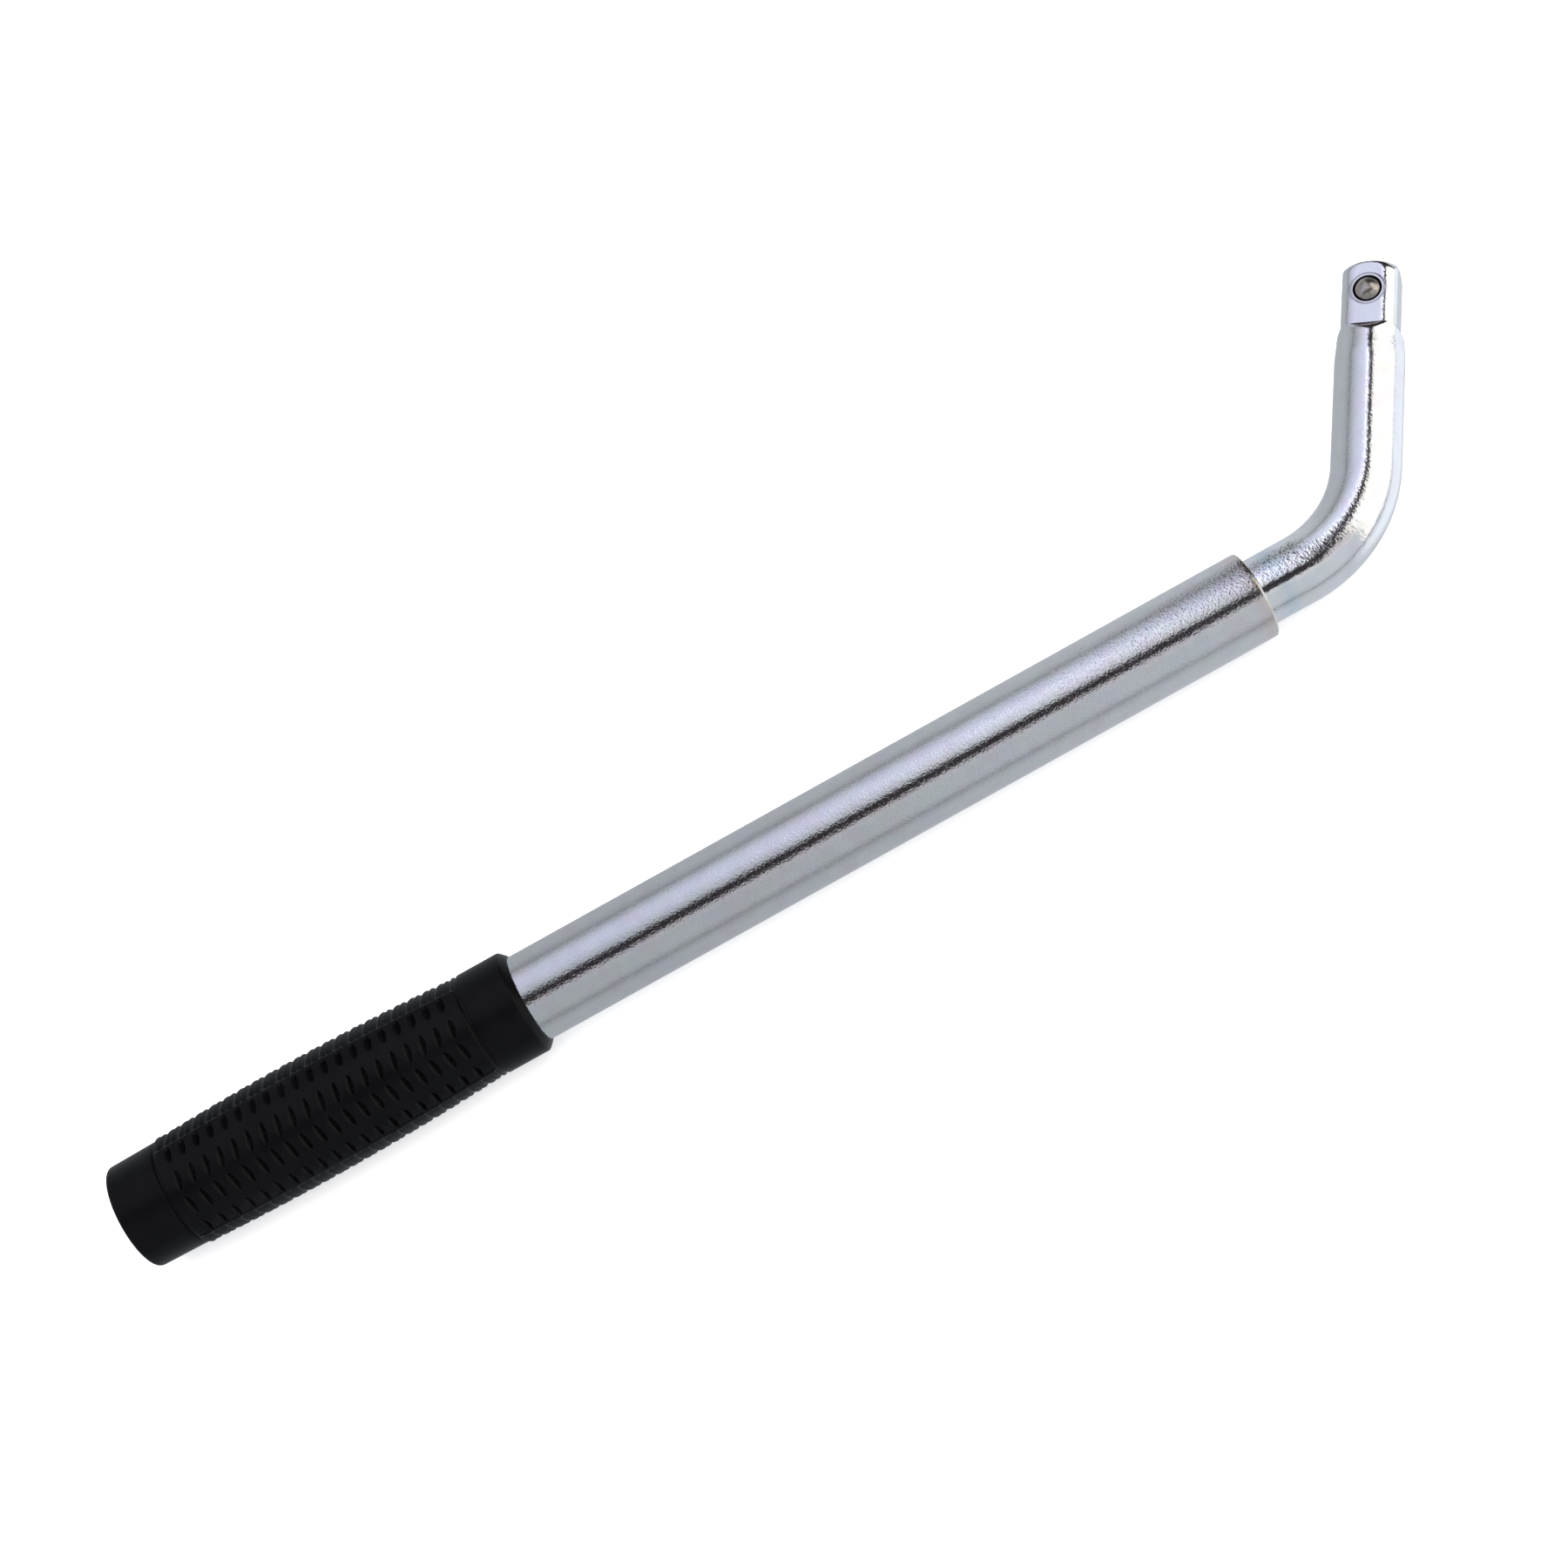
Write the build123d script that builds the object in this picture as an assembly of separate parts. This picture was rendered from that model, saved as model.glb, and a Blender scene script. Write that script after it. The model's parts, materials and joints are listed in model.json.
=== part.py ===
"""Telescoping lug wrench: a gripped steel tube, a bent bar sliding in it, and a square drive with a ball detent.

The model is built with the centre of the tube's mouth at (0, 0, 0), the tube running back along -X and
the bar's arm bending towards +Y, with +Z up out of the plane of the bend.  At the end every piece is moved
so that the wrench lies on its side on the plane Z = 0, with the origin at the centre of its footprint.
"""
from build123d import *

import math
import os

# ---------------------------------------------------------------- driving dimensions, mm and degrees
# Outer tube
TUBE_R = 10.5                # outside radius, 21 mm tube
TUBE_BORE_R = 8.7            # inside radius, 1.8 mm wall
TUBE_REAR_X = -286.7         # rear end, inside the grip
LIP_R = 8.08                 # radius of the rolled mouth, a running fit on the bar
LIP_LENGTH = 3.6             # length of the rolled-in mouth
LIP_CONE = 1.4               # length of the cone from the lip back to the bore
MOUTH_TAPER_LENGTH = 1.4     # slight outside taper in front of the rounded nose
MOUTH_TAPER_R = 10.46        # outside radius where the nose's rounding starts
MOUTH_NOSE = 0.55            # radius of the nose
MOUTH_BREAK = 0.25           # small chamfer on the inner edge of the mouth

# Grip
GRIP_FRONT_X = -187.5
GRIP_REAR_X = -290.8
REAR_BAND_X = -277.8         # parting groove between the smooth rear band and the ribbed barrel
FRONT_BAND_X = -199.5        # parting groove between the ribbed barrel and the front band
PARTING_WIDTH = 0.8
PARTING_DEPTH = 0.35
REAR_BAND_R = 12.85
BUTT_R = 12.65               # radius at the start of the butt's rounding
BUTT_ROUND = 1.0
BUTT_DOME = 0.8              # how far the middle of the butt stands out
BARREL_REAR_R = 13.35
BARREL_MAX_R = 14.1
BARREL_MAX_X = -246.0
BARREL_FRONT_R = 12.6
FRONT_BAND_R = 12.5
FRONT_RIM = 1.5              # chamfer of the grip's front rim

# Drive bar
BAR_R = 8.0                  # 16 mm bar
BAR_INNER_X = -271.2         # inner end, with the wrench closed
BAR_END_CHAMFER = 1.0
BEND_START_X = 11.2          # straight bar that stays proud of the mouth
BEND_RADIUS = 30.5           # on the centreline
BEND_ANGLE = 57.0
ARM_LENGTH = 49.4            # straight arm from the bend to the tip, square included

# Square drive, 1/2 in
SQUARE = 12.7                # across flats
SQUARE_CORNER_R = 7.65       # radius of the turned corners
SQUARE_LENGTH = 16.1         # length of the flats from the tip
SQUARE_TWIST = -11.0         # turn of the square about the arm, from the plane of the bend
SHOULDER_RISE = 1.9          # length over which a flat runs out to the round bar
CORNER_CONE = 5.5            # length of the cone from the corners to the bar
TIP_ROUND = 2.6              # rounding of the tip

# Ball detent
BALL_R = 3.175               # 1/4 in ball
BALL_FROM_TIP = 7.4
BALL_PROUD = 1.8             # how far the ball stands out of the flat
BALL_HOLE_R = 3.25
BALL_HOLE_DEPTH = 9.0
DRILL_ANGLE = 118.0
THROAT_R = 3.02              # staked edge that keeps the ball in
THROAT_DEPTH = 0.25          # of the narrowest place, below the flat
THROAT_FLARE_R = 3.25        # opening at the flat
THROAT_START_DEPTH = 0.6     # where the hole's wall starts to narrow
STAKE_RING_R = 3.85          # middle radius of the staking groove round the hole
STAKE_RING_WIDTH = 0.4
STAKE_RING_DEPTH = 0.3
SPRING_R = 2.45              # mean coil radius
SPRING_WIRE_R = 0.25
SPRING_TURNS = 4.5
SPRING_SEAT = 0.35           # wire centre above the hole's straight wall end
SPRING_BALL_GAP = 0.05

# Travel and the rings on the bar
TRAVEL = 178.0               # closed to fully extended, 7 in
END_CLEARANCE = 0.05         # left between the stop ring and the lip's cone at full travel
STOP_GROOVE_R = 7.0
STOP_RING_INNER_R = 7.08
STOP_RING_OUTER_R = 8.64
STOP_RING_WIDTH = 1.6
FRICTION_GROOVE_R = 6.9
FRICTION_RING_INNER_R = 6.98
FRICTION_RING_OUTER_R = 8.66
FRICTION_RING_WIDTH = 5.0
FRICTION_RING_SETBACK = 5.0  # from the bar's inner end to the ring
RING_SIDE_CLEARANCE = 0.1
RING_GAP = 2.0               # split of both rings

# Bump plug
PLUG_CLEARANCE = 0.2         # between the plug and the closed bar
PLUG_CHAMFER = 0.8
PLUG_VENT_R = 1.5            # lets air past the bar

CUT_MARGIN = 1.0             # how far every cutter runs past the metal that it cuts

# ---------------------------------------------------------------- derived places
STOP_RING_FRONT_X = -LIP_LENGTH - LIP_CONE - TRAVEL - END_CLEARANCE
STOP_RING_REAR_X = STOP_RING_FRONT_X - STOP_RING_WIDTH
FRICTION_RING_REAR_X = BAR_INNER_X + FRICTION_RING_SETBACK
FRICTION_RING_FRONT_X = FRICTION_RING_REAR_X + FRICTION_RING_WIDTH
PLUG_FRONT_X = BAR_INNER_X - PLUG_CLEARANCE

BEND_CENTRE = Vector(BEND_START_X, BEND_RADIUS, 0)


def spin(profile):
    """Turn a half profile, drawn as (along the axis, radius), about the X axis."""
    return revolve(profile, axis=Axis.X)


def ring_section(x_low, x_high, r_inner, r_outer):
    """Rectangle in the XY plane between two stations and two radii."""
    centre = Location(((x_low + x_high) / 2, (r_inner + r_outer) / 2))
    return centre * Rectangle(x_high - x_low, r_outer - r_inner)


def make_outer_tube():
    """Tube with a square rear end and a mouth rolled in to guide the bar."""
    nose_r = MOUTH_TAPER_R - MOUTH_NOSE
    corners = [
        (0, LIP_R + MOUTH_BREAK),
        (-MOUTH_BREAK, LIP_R),
        (-LIP_LENGTH, LIP_R),
        (-LIP_LENGTH - LIP_CONE, TUBE_BORE_R),
        (TUBE_REAR_X, TUBE_BORE_R),
        (TUBE_REAR_X, TUBE_R),
        (-MOUTH_TAPER_LENGTH - MOUTH_NOSE, TUBE_R),
        (-MOUTH_NOSE, MOUTH_TAPER_R),
    ]
    outline = Polyline(*corners)
    outline += RadiusArc((-MOUTH_NOSE, MOUTH_TAPER_R), (0, nose_r), MOUTH_NOSE)
    outline += Line((0, nose_r), (0, LIP_R + MOUTH_BREAK))
    return spin(make_face(outline))


def make_grip():
    """Closed handle moulded over the rear of the tube, widest at the middle of the palm."""
    barrel_rear_x = REAR_BAND_X + PARTING_WIDTH
    barrel_front_x = FRONT_BAND_X - PARTING_WIDTH
    butt_edge_x = GRIP_REAR_X + BUTT_DOME
    outline = Line((TUBE_REAR_X, 0), (GRIP_REAR_X, 0))
    outline += ThreePointArc(
        (GRIP_REAR_X, 0),
        (GRIP_REAR_X + BUTT_DOME / 4, (BUTT_R - BUTT_ROUND) / 2),
        (butt_edge_x, BUTT_R - BUTT_ROUND),
    )
    outline += RadiusArc((butt_edge_x, BUTT_R - BUTT_ROUND), (butt_edge_x + BUTT_ROUND, BUTT_R), BUTT_ROUND)
    outline += Polyline(
        (butt_edge_x + BUTT_ROUND, BUTT_R),
        (REAR_BAND_X, REAR_BAND_R),
        (REAR_BAND_X, REAR_BAND_R - PARTING_DEPTH),
        (barrel_rear_x, REAR_BAND_R - PARTING_DEPTH),
        (barrel_rear_x, BARREL_REAR_R),
    )
    outline += TangentArc((BARREL_MAX_X, BARREL_MAX_R), (barrel_rear_x, BARREL_REAR_R), tangent=(-1, 0))
    outline += TangentArc((BARREL_MAX_X, BARREL_MAX_R), (barrel_front_x, BARREL_FRONT_R), tangent=(1, 0))
    outline += Polyline(
        (barrel_front_x, BARREL_FRONT_R),
        (barrel_front_x, FRONT_BAND_R - PARTING_DEPTH),
        (FRONT_BAND_X, FRONT_BAND_R - PARTING_DEPTH),
        (FRONT_BAND_X, FRONT_BAND_R),
        (GRIP_FRONT_X - FRONT_RIM, FRONT_BAND_R),
        (GRIP_FRONT_X, FRONT_BAND_R - FRONT_RIM),
        (GRIP_FRONT_X, TUBE_R),
        (TUBE_REAR_X, TUBE_R),
        (TUBE_REAR_X, 0),
    )
    return spin(make_face(outline))


def make_bump_plug():
    """Plastic plug pressed into the rear of the tube; the closed bar stops on it."""
    outline = Polyline(
        (TUBE_REAR_X, PLUG_VENT_R),
        (TUBE_REAR_X, TUBE_BORE_R),
        (PLUG_FRONT_X - PLUG_CHAMFER, TUBE_BORE_R),
        (PLUG_FRONT_X, TUBE_BORE_R - PLUG_CHAMFER),
        (PLUG_FRONT_X, PLUG_VENT_R),
        close=True,
    )
    return spin(make_face(outline))


def make_split_ring(x_rear, x_front, r_inner, r_outer):
    """Ring about the tube's axis with a gap at the top."""
    ring = spin(ring_section(x_rear, x_front, r_inner, r_outer))
    gap = Location(((x_rear + x_front) / 2, 0, r_outer)) * Box(x_front - x_rear + CUT_MARGIN, RING_GAP, r_outer)
    return ring - gap


def drive_plane():
    """Plane at the tip: its Z runs out along the arm, its X is the normal of the flat with the ball."""
    turn = math.radians(BEND_ANGLE)
    arm = Vector(math.cos(turn), math.sin(turn), 0)
    bend_end = BEND_CENTRE + Vector(math.sin(turn), -math.cos(turn), 0) * BEND_RADIUS
    tip = bend_end + arm * ARM_LENGTH
    flat_normal = Vector(0, 0, 1).rotate(Axis((0, 0, 0), arm), SQUARE_TWIST)
    return Plane(origin=tip, x_dir=flat_normal, z_dir=arm)


def make_square_cutter():
    """Everything that is cut from the round bar to leave the square drive, in the drive plane's frame."""
    half = SQUARE / 2
    beyond = BAR_R + CUT_MARGIN
    # Turned outside of the tip: rounded end, corner cylinder and cone back to the bar
    turned = Polyline(
        (beyond, CUT_MARGIN),
        (0, CUT_MARGIN),
        (0, 0),
        (SQUARE_CORNER_R - TIP_ROUND, 0),
    )
    turned += RadiusArc((SQUARE_CORNER_R - TIP_ROUND, 0), (SQUARE_CORNER_R, -TIP_ROUND), TIP_ROUND)
    cone_start = -SQUARE_LENGTH - SHOULDER_RISE
    turned += Polyline(
        (SQUARE_CORNER_R, -TIP_ROUND),
        (SQUARE_CORNER_R, cone_start),
        (BAR_R, cone_start - CORNER_CONE),
        (beyond, cone_start - CORNER_CONE),
        (beyond, CUT_MARGIN),
    )
    cutter = revolve(Plane.XZ * make_face(turned), axis=Axis.Z)
    # Four flats, each running out to the bar on a short incline
    runout = SHOULDER_RISE * (beyond - half) / (BAR_R - half)
    flat = Polyline(
        (half, CUT_MARGIN),
        (half, -SQUARE_LENGTH),
        (beyond, -SQUARE_LENGTH - runout),
        (beyond, CUT_MARGIN),
        close=True,
    )
    flat_cutter = extrude(Plane.XZ * make_face(flat), beyond, both=True)
    for quarter in range(4):
        cutter += Rot(0, 0, 90 * quarter) * flat_cutter
    return cutter


def make_ball_hole():
    """Blind drilled hole for ball and spring, its axis along +X of the drive plane's frame."""
    half = SQUARE / 2
    floor = half - BALL_HOLE_DEPTH
    point = floor - BALL_HOLE_R / math.tan(math.radians(DRILL_ANGLE / 2))
    outline = Polyline(
        (point, 0),
        (floor, BALL_HOLE_R),
        (half - THROAT_START_DEPTH, BALL_HOLE_R),
        (half - THROAT_DEPTH, THROAT_R),
        (half, THROAT_FLARE_R),
        (half + CUT_MARGIN, THROAT_FLARE_R),
        (half + CUT_MARGIN, 0),
        close=True,
    )
    hole = spin(make_face(outline))
    stake = spin(ring_section(
        half - STAKE_RING_DEPTH, half + CUT_MARGIN,
        STAKE_RING_R - STAKE_RING_WIDTH / 2, STAKE_RING_R + STAKE_RING_WIDTH / 2,
    ))
    return Location((0, 0, -BALL_FROM_TIP)) * (hole + stake)


def make_drive_bar(tip_plane):
    """Round bar with two ring grooves, one bend and the square drive."""
    turn = math.radians(BEND_ANGLE)
    bend_end = BEND_CENTRE + Vector(math.sin(turn), -math.cos(turn), 0) * BEND_RADIUS
    path = Line((BAR_INNER_X, 0, 0), (BEND_START_X, 0, 0))
    path += RadiusArc((BEND_START_X, 0, 0), bend_end, -BEND_RADIUS)
    path += Line(bend_end, tip_plane.origin)
    bar = sweep(Plane(origin=(BAR_INNER_X, 0, 0), z_dir=(1, 0, 0)) * Circle(BAR_R), path=path)
    inner_edge = bar.edges().filter_by(GeomType.CIRCLE).sort_by(Axis.X)[0]
    bar = chamfer(inner_edge, BAR_END_CHAMFER)
    side = RING_SIDE_CLEARANCE
    outside = BAR_R + CUT_MARGIN
    bar -= spin(ring_section(STOP_RING_REAR_X - side, STOP_RING_FRONT_X + side, STOP_GROOVE_R, outside))
    bar -= spin(ring_section(FRICTION_RING_REAR_X - side, FRICTION_RING_FRONT_X + side, FRICTION_GROOVE_R, outside))
    bar -= tip_plane.location * make_square_cutter()
    return bar - tip_plane.location * make_ball_hole()


def make_detent_ball(tip_plane):
    """Ball at rest, standing proud of its flat."""
    centre = SQUARE / 2 + BALL_PROUD - BALL_R
    return tip_plane.location * Location((centre, 0, -BALL_FROM_TIP)) * Sphere(BALL_R)


def make_detent_spring(tip_plane):
    """Compression spring between the hole's floor and the ball, its axis along the drive plane's X."""
    low = SQUARE / 2 - BALL_HOLE_DEPTH + SPRING_SEAT
    ball_centre = SQUARE / 2 + BALL_PROUD - BALL_R
    reach = BALL_R + SPRING_WIRE_R + SPRING_BALL_GAP
    high = ball_centre - math.sqrt(reach ** 2 - SPRING_R ** 2)
    height = high - low
    helix = Helix(pitch=height / SPRING_TURNS, height=height, radius=SPRING_R)
    section = Plane(origin=helix @ 0, z_dir=helix % 0) * Circle(SPRING_WIRE_R)
    coil = sweep(section, path=helix, is_frenet=True)
    return tip_plane.location * Location((low, 0, -BALL_FROM_TIP), (0, 90, 0)) * coil


def build():
    """All pieces by node name, still in the mouth-centred frame."""
    tip_plane = drive_plane()
    return {
        "outer_tube": make_outer_tube(),
        "grip": make_grip(),
        "bump_plug": make_bump_plug(),
        "drive_bar": make_drive_bar(tip_plane),
        "stop_ring": make_split_ring(STOP_RING_REAR_X, STOP_RING_FRONT_X, STOP_RING_INNER_R, STOP_RING_OUTER_R),
        "friction_ring": make_split_ring(
            FRICTION_RING_REAR_X, FRICTION_RING_FRONT_X, FRICTION_RING_INNER_R, FRICTION_RING_OUTER_R
        ),
        "detent_ball": make_detent_ball(tip_plane),
        "detent_spring": make_detent_spring(tip_plane),
    }


def main():
    os.makedirs("parts", exist_ok=True)
    pieces = build()
    box = Compound(children=list(pieces.values())).bounding_box()
    shift = Location((-box.center().X, -box.center().Y, -box.min.Z))
    for node, piece in pieces.items():
        placed = (shift * piece).solid()
        placed.label = node
        export_step(placed, f"parts/{node}.step")
    print("mouth centre at", shift.position)
    print("size", box.size)


main()
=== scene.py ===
"""Looks of the telescoping lug wrench: finely meshed tube, grip, drive bar and spring in place of their
CAD nodes, procedural plating, moulding and steel, a pale floor and a soft studio."""

import json
import math

import bmesh
import bpy
import numpy as np
from mathutils import Matrix, Vector


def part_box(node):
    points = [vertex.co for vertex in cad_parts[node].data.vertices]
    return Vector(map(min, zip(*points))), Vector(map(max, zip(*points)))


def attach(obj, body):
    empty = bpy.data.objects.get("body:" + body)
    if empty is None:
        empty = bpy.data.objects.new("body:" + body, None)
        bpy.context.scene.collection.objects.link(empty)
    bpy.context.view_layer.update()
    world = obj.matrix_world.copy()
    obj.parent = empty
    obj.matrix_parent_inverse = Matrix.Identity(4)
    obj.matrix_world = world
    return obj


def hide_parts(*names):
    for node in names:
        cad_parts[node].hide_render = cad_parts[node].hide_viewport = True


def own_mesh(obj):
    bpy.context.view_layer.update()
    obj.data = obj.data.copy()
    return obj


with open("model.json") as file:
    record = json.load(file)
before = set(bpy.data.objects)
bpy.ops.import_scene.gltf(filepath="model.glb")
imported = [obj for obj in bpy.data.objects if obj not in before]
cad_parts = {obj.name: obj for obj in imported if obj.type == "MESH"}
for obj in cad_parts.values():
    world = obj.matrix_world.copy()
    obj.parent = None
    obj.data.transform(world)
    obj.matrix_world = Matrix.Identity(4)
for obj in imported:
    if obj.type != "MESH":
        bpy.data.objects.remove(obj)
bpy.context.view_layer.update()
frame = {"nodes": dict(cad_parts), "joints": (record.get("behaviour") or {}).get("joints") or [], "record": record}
RECORD = frame["record"]
JOINTS = {joint["name"]: joint for joint in frame["joints"]}
MOUNTS = {mount["name"]: mount for mount in RECORD["mounts"]}

MM = 0.001

# ---------------------------------------------------------------- places taken from the frame, metres
TUBE_LOW, TUBE_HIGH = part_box("outer_tube")
GRIP_LOW, GRIP_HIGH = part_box("grip")
BAR_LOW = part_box("drive_bar")[0]
STOP_LOW, STOP_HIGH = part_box("stop_ring")
FRICTION_LOW, FRICTION_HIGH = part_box("friction_ring")

AXIS_Y = (TUBE_LOW.y + TUBE_HIGH.y) / 2
AXIS_Z = (TUBE_LOW.z + TUBE_HIGH.z) / 2
MOUTH = Vector((TUBE_HIGH.x, AXIS_Y, AXIS_Z))
TIP = Vector(MOUNTS["square_drive"]["pos_m"])
ARM = Vector(MOUNTS["square_drive"]["axis"]).normalized()
BEND = math.atan2(ARM.y, ARM.x)
BALL_FLAT_NORMAL = -Vector(JOINTS["ball_press"]["axis"]).normalized()

# ---------------------------------------------------------------- sizes shared with the CAD model, metres
TUBE_R = (TUBE_HIGH.z - TUBE_LOW.z) / 2
TUBE_BORE_R = 8.7 * MM
LIP_R = 8.08 * MM
LIP_LENGTH = 3.6 * MM
LIP_CONE = 1.4 * MM
MOUTH_TAPER_LENGTH = 1.4 * MM
MOUTH_TAPER_R = 10.46 * MM
MOUTH_NOSE = 0.55 * MM
MOUTH_BREAK = 0.25 * MM

REAR_BAND_LENGTH = 13.0 * MM
FRONT_BAND_LENGTH = 12.0 * MM
PARTING_WIDTH = 0.8 * MM
PARTING_DEPTH = 0.35 * MM
REAR_BAND_R = 12.85 * MM
FRONT_BAND_R = 12.5 * MM
BUTT_R = 12.65 * MM
BUTT_ROUND = 1.0 * MM
BUTT_DOME = 0.8 * MM
BARREL_REAR_R = 13.35 * MM
BARREL_MAX_R = (GRIP_HIGH.z - GRIP_LOW.z) / 2
BARREL_MAX_FROM_REAR = 44.8 * MM
BARREL_FRONT_R = 12.6 * MM
FRONT_RIM = 1.5 * MM
GRIP_WALL_END = 4.1 * MM

BAR_R = 8.0 * MM
BAR_END_CHAMFER = 1.0 * MM
BAR_PROUD = 11.2 * MM
BEND_RADIUS = 30.5 * MM
ARM_LENGTH = 49.4 * MM
SQUARE = 12.7 * MM
SQUARE_CORNER_R = 7.65 * MM
SQUARE_LENGTH = 16.1 * MM
SHOULDER_RISE = 1.9 * MM
CORNER_CONE = 5.5 * MM
TIP_ROUND = 2.6 * MM
EDGE_BREAK = 0.75 * MM       # width over which a flat rolls into a turned corner
RING_SIDE_CLEARANCE = 0.1 * MM
STOP_GROOVE_R = 7.0 * MM
FRICTION_GROOVE_R = 6.9 * MM

BALL_FROM_TIP = 7.4 * MM
BALL_HOLE_R = 3.25 * MM
BALL_HOLE_DEPTH = 9.0 * MM
THROAT_R = 3.02 * MM
THROAT_DEPTH = 0.25 * MM
THROAT_FLARE_R = 3.25 * MM
THROAT_START_DEPTH = 0.6 * MM
STAKE_RING_R = 3.85 * MM
STAKE_RING_WIDTH = 0.4 * MM
STAKE_RING_DEPTH = 0.3 * MM

# ---------------------------------------------------------------- the grip's moulded pattern
SCALE_COUNT = 20             # pockets in a row
SCALE_PITCH = 3.65 * MM
FIRST_POCKET_FROM_REAR = 17.2 * MM
PATTERN_TURN = math.radians(21.7)    # the pattern's middle, turned from +Z towards -Y
# Rows of lens-shaped pockets on each side of the pattern's middle, mirrored all round the grip: angle of
# the row's middle and half of its height, in degrees round the grip, and its lean in mm per degree
POCKET_ROWS = ((13.0, 9.6, 0.028), (42.0, 8.6, 0.008))
POCKET_HALF_WIDTH = 0.98 * MM
POCKET_DEPTH = 1.0 * MM
POCKET_DEEPEST = 0.25        # place of a pocket's deepest line, -1 at its rear edge and 1 at its front
SHOULDER_ROLL = 1.45         # power of the curve that rolls down into a pocket
SIDE_GROOVE_START = 53.8     # degrees from the middle: beyond it, grooves run round the grip's sides
SIDE_GROOVE_HALF_WIDTH = 0.85 * MM
SIDE_GROOVE_DEPTH = 0.60 * MM
MIDWAY_GROOVE_DEPTH = 0.80 * MM      # of the V midway between two side grooves
SIDE_GROOVE_LEAN = 0.032     # mm per degree
SIDE_GROOVE_SHIFT = 0.05     # of a pitch, past the pockets' places
SIDE_GROOVE_EARLY = 1.0      # degrees by which they begin before that
SIDE_GROOVE_LEAD_IN = 3.5    # degrees over which they reach their depth
RIB_ANGLE = 51.6
RIB_HALF_WIDTH = 2.6
RIB_RISE = 0.30 * MM
PATTERN_MARGIN = 1.2 * MM    # length over which the pattern fades in at each end of the barrel
BARREL_EDGE_DROP = 0.3 * MM  # the barrel's ends ease down by this much, over as long a stretch

SHARP_EDGE = math.radians(32)
WELD_DISTANCE = 0.0002 * MM


# ---------------------------------------------------------------- meshes
def smooth(t):
    """Smoothstep of t, held between 0 and 1."""
    t = np.clip(t, 0.0, 1.0)
    return t * t * (3 - 2 * t)


def arc(centre, radius, start, end, steps):
    """Points of an arc in the (along, radius) plane, angles in degrees."""
    angles = np.radians(np.linspace(start, end, steps))
    return [(centre[0] + radius * math.cos(a), centre[1] + radius * math.sin(a)) for a in angles]


def skin(name, rings, loop=False, cap_start=None, cap_end=None):
    """Mesh through rings of points: a torus-like loop, or a skin whose ends may close on a point each."""
    count, around = rings.shape[:2]
    row = np.arange(count if loop else count - 1)[:, None]
    col = np.arange(around)[None, :]
    after, beside = (row + 1) % count, (col + 1) % around
    this_ring, next_ring = row * around, after * around
    corners = [this_ring + col, this_ring + beside, next_ring + beside, next_ring + col]
    quads = np.stack(corners, axis=-1).reshape(-1, 4)
    points = [tuple(p) for p in rings.reshape(-1, 3)]
    faces = quads.tolist()
    for point, ring, flip in ((cap_start, 0, True), (cap_end, count - 1, False)):
        if point is None:
            continue
        points.append(tuple(point))
        tip = len(points) - 1
        for c in range(around):
            a, b = ring * around + c, ring * around + (c + 1) % around
            faces.append((tip, b, a) if flip else (tip, a, b))
    mesh = bpy.data.meshes.new(name)
    mesh.from_pydata(points, [], faces)
    return mesh


def finish_piece(name, mesh, node, body, material):
    """Object of a finished mesh that stands for a CAD node."""
    fix = bmesh.new()
    fix.from_mesh(mesh)
    bmesh.ops.recalc_face_normals(fix, faces=fix.faces)
    fix.to_mesh(mesh)
    fix.free()
    mesh.polygons.foreach_set("use_smooth", [True] * len(mesh.polygons))
    mesh.set_sharp_from_angle(angle=SHARP_EDGE)
    mesh.materials.append(material)
    piece = bpy.data.objects.new(name, mesh)
    bpy.context.scene.collection.objects.link(piece)
    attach(piece, body)
    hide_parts(node)
    return piece


def spin_loop(name, profile, around):
    """Skin of a closed profile of (x, radius) turned about the tube's axis."""
    turn = np.linspace(0, 2 * math.pi, around, endpoint=False)
    profile = np.array(profile)
    rings = np.empty((len(profile), around, 3))
    rings[..., 0] = profile[:, 0, None]
    rings[..., 1] = AXIS_Y + profile[:, 1, None] * np.sin(turn)
    rings[..., 2] = AXIS_Z + profile[:, 1, None] * np.cos(turn)
    return skin(name, rings, loop=True)


def tube_profile():
    """Closed outline of the tube's wall: outside, rolled mouth, bore and rear end."""
    x_mouth, x_rear = TUBE_HIGH.x, TUBE_LOW.x
    nose_x, nose_r = x_mouth - MOUTH_NOSE, MOUTH_TAPER_R - MOUTH_NOSE
    taper_x = nose_x - MOUTH_TAPER_LENGTH
    ease, ease_drop = 0.4 * MM, 0.007 * MM
    outside = [(x, TUBE_R) for x in np.linspace(x_rear, taper_x - ease, 90)]
    taper = [(taper_x + ease, TUBE_R - ease_drop)]
    nose = arc((nose_x, nose_r), MOUTH_NOSE, 88, 0, 12)
    mouth = [(x_mouth, LIP_R + MOUTH_BREAK), (x_mouth - MOUTH_BREAK, LIP_R)]
    inside = [
        (x_mouth - LIP_LENGTH, LIP_R),
        (x_mouth - LIP_LENGTH - LIP_CONE, TUBE_BORE_R),
        (x_rear, TUBE_BORE_R),
    ]
    return outside + taper + nose + mouth + inside


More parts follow.
